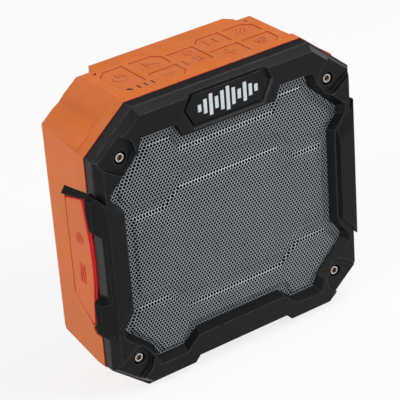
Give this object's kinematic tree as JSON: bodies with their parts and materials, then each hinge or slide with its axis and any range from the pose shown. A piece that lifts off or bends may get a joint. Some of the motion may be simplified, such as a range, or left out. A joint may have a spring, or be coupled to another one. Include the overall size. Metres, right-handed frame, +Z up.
{
  "type": "portable bluetooth speaker",
  "caption": "Rugged portable speaker: eight-sided orange housing, black bevelled front frame with a pressed grille, top keys, hinged port cover and a strap bar.",
  "frame": {"origin": "on the ground under the middle of the overall box", "axes": "+X to the right seen from the front, +Y to the back, +Z up; the front faces -Y"},
  "size_m": [0.1286, 0.0498, 0.1228],
  "materials": {
    "orange_shell": "moulded, fine grain",
    "orange_rubber": "soft touch",
    "orange_keys": "soft touch, raised symbols",
    "black_frame": "moulded, fine grain",
    "black_bumper": "soft touch",
    "pale_print": "printed",
    "grille_grey": "powder coat",
    "cloth": "woven",
    "inner_black": "moulded",
    "seal_rubber": "matt",
    "screw_steel": "bright",
    "plated_steel": "zinc plated",
    "basket_steel": "black paint",
    "ferrite": "dull",
    "spider_cloth": "stiffened weave",
    "cone_paper": "pressed paper",
    "former_foil": "foil",
    "copper": "enamelled wire",
    "board_green": "solder mask",
    "chip_black": "moulded",
    "module_blue": "shield can",
    "led_white": "clear",
    "lens_dark": "smoked",
    "mic_metal": "plated",
    "cell_wrap": "printed wrap",
    "wire_insulation": "smooth",
    "ribbon_white": "flat"
  },
  "bodies": {
    "enclosure": {"rear_housing": "orange_shell", "front_bezel": "black_frame", "bumper_left": "black_bumper", "bumper_right": "black_bumper", "badge_plate": "black_frame", "badge_mark": "pale_print", "grille": "grille_grey", "grille_cloth": "cloth", "baffle": "inner_black", "bezel_gasket": "seal_rubber", "bezel_screws": "screw_steel", "strap_bar": "orange_shell", "vent_inserts": "seal_rubber", "foot_pads": "seal_rubber", "port_panel": "black_frame", "driver_gasket": "seal_rubber", "driver_basket": "basket_steel", "driver_screws": "screw_steel", "terminal_strip": "inner_black", "magnet_plate": "plated_steel", "magnet": "ferrite", "pole_yoke": "plated_steel", "spider": "spider_cloth", "surround": "seal_rubber", "main_board": "board_green", "board_chips": "chip_black", "wireless_module": "module_blue", "usb_socket": "plated_steel", "aux_socket": "inner_black", "board_screws": "screw_steel", "key_board": "board_green", "key_switches": "chip_black", "key_board_screws": "screw_steel", "indicator_leds": "led_white", "indicator_lenses": "lens_dark", "microphone": "mic_metal", "battery_cell": "cell_wrap", "battery_cradle": "inner_black", "driver_leads": "wire_insulation", "battery_leads": "wire_insulation", "ribbon_cable": "ribbon_white"},
    "cone_assembly": {"cone": "cone_paper", "dust_cap": "cone_paper", "coil_former": "former_foil", "voice_coil": "copper"},
    "cover": {"port_cover": "orange_rubber"},
    "body_key_power": {"key_power": "orange_keys"},
    "body_key_previous": {"key_previous": "orange_keys"},
    "body_key_volume_down": {"key_volume_down": "orange_keys"},
    "body_key_play": {"key_play": "orange_keys"},
    "body_key_next": {"key_next": "orange_keys"},
    "body_key_volume_up": {"key_volume_up": "orange_keys"},
    "body_key_link": {"key_link": "orange_keys"},
    "body_key_pairing": {"key_pairing": "orange_keys"}
  },
  "joints": [
    {"name": "cone_travel", "type": "slide", "parent": "enclosure", "child": "cone_assembly", "axis": [0, 1, 0], "range_m": [-0.0012, 0.0012], "stiffness_N_per_m": 1500, "deforming": ["surround", "spider"]},
    {"name": "cover_hinge", "type": "hinge", "parent": "enclosure", "child": "cover", "pos_m": [-0.0606, 0.0019, 0.0598], "axis": [0, 0, -1], "range_deg": [0, 95]},
    {"name": "key_power_press", "type": "slide", "parent": "enclosure", "child": "body_key_power", "axis": [0, 0, -1], "range_m": [0, 0.0006], "stiffness_N_per_m": 2500},
    {"name": "key_previous_press", "type": "slide", "parent": "enclosure", "child": "body_key_previous", "axis": [0, 0, -1], "range_m": [0, 0.0006], "stiffness_N_per_m": 2500},
    {"name": "key_volume_down_press", "type": "slide", "parent": "enclosure", "child": "body_key_volume_down", "axis": [0, 0, -1], "range_m": [0, 0.0006], "stiffness_N_per_m": 2500},
    {"name": "key_play_press", "type": "slide", "parent": "enclosure", "child": "body_key_play", "axis": [0, 0, -1], "range_m": [0, 0.0006], "stiffness_N_per_m": 2500},
    {"name": "key_next_press", "type": "slide", "parent": "enclosure", "child": "body_key_next", "axis": [0, 0, -1], "range_m": [0, 0.0006], "stiffness_N_per_m": 2500},
    {"name": "key_volume_up_press", "type": "slide", "parent": "enclosure", "child": "body_key_volume_up", "axis": [0, 0, -1], "range_m": [0, 0.0006], "stiffness_N_per_m": 2500},
    {"name": "key_link_press", "type": "slide", "parent": "enclosure", "child": "body_key_link", "axis": [0, 0, -1], "range_m": [0, 0.0006], "stiffness_N_per_m": 2500},
    {"name": "key_pairing_press", "type": "slide", "parent": "enclosure", "child": "body_key_pairing", "axis": [0, 0, -1], "range_m": [0, 0.0006], "stiffness_N_per_m": 2500}
  ]
}
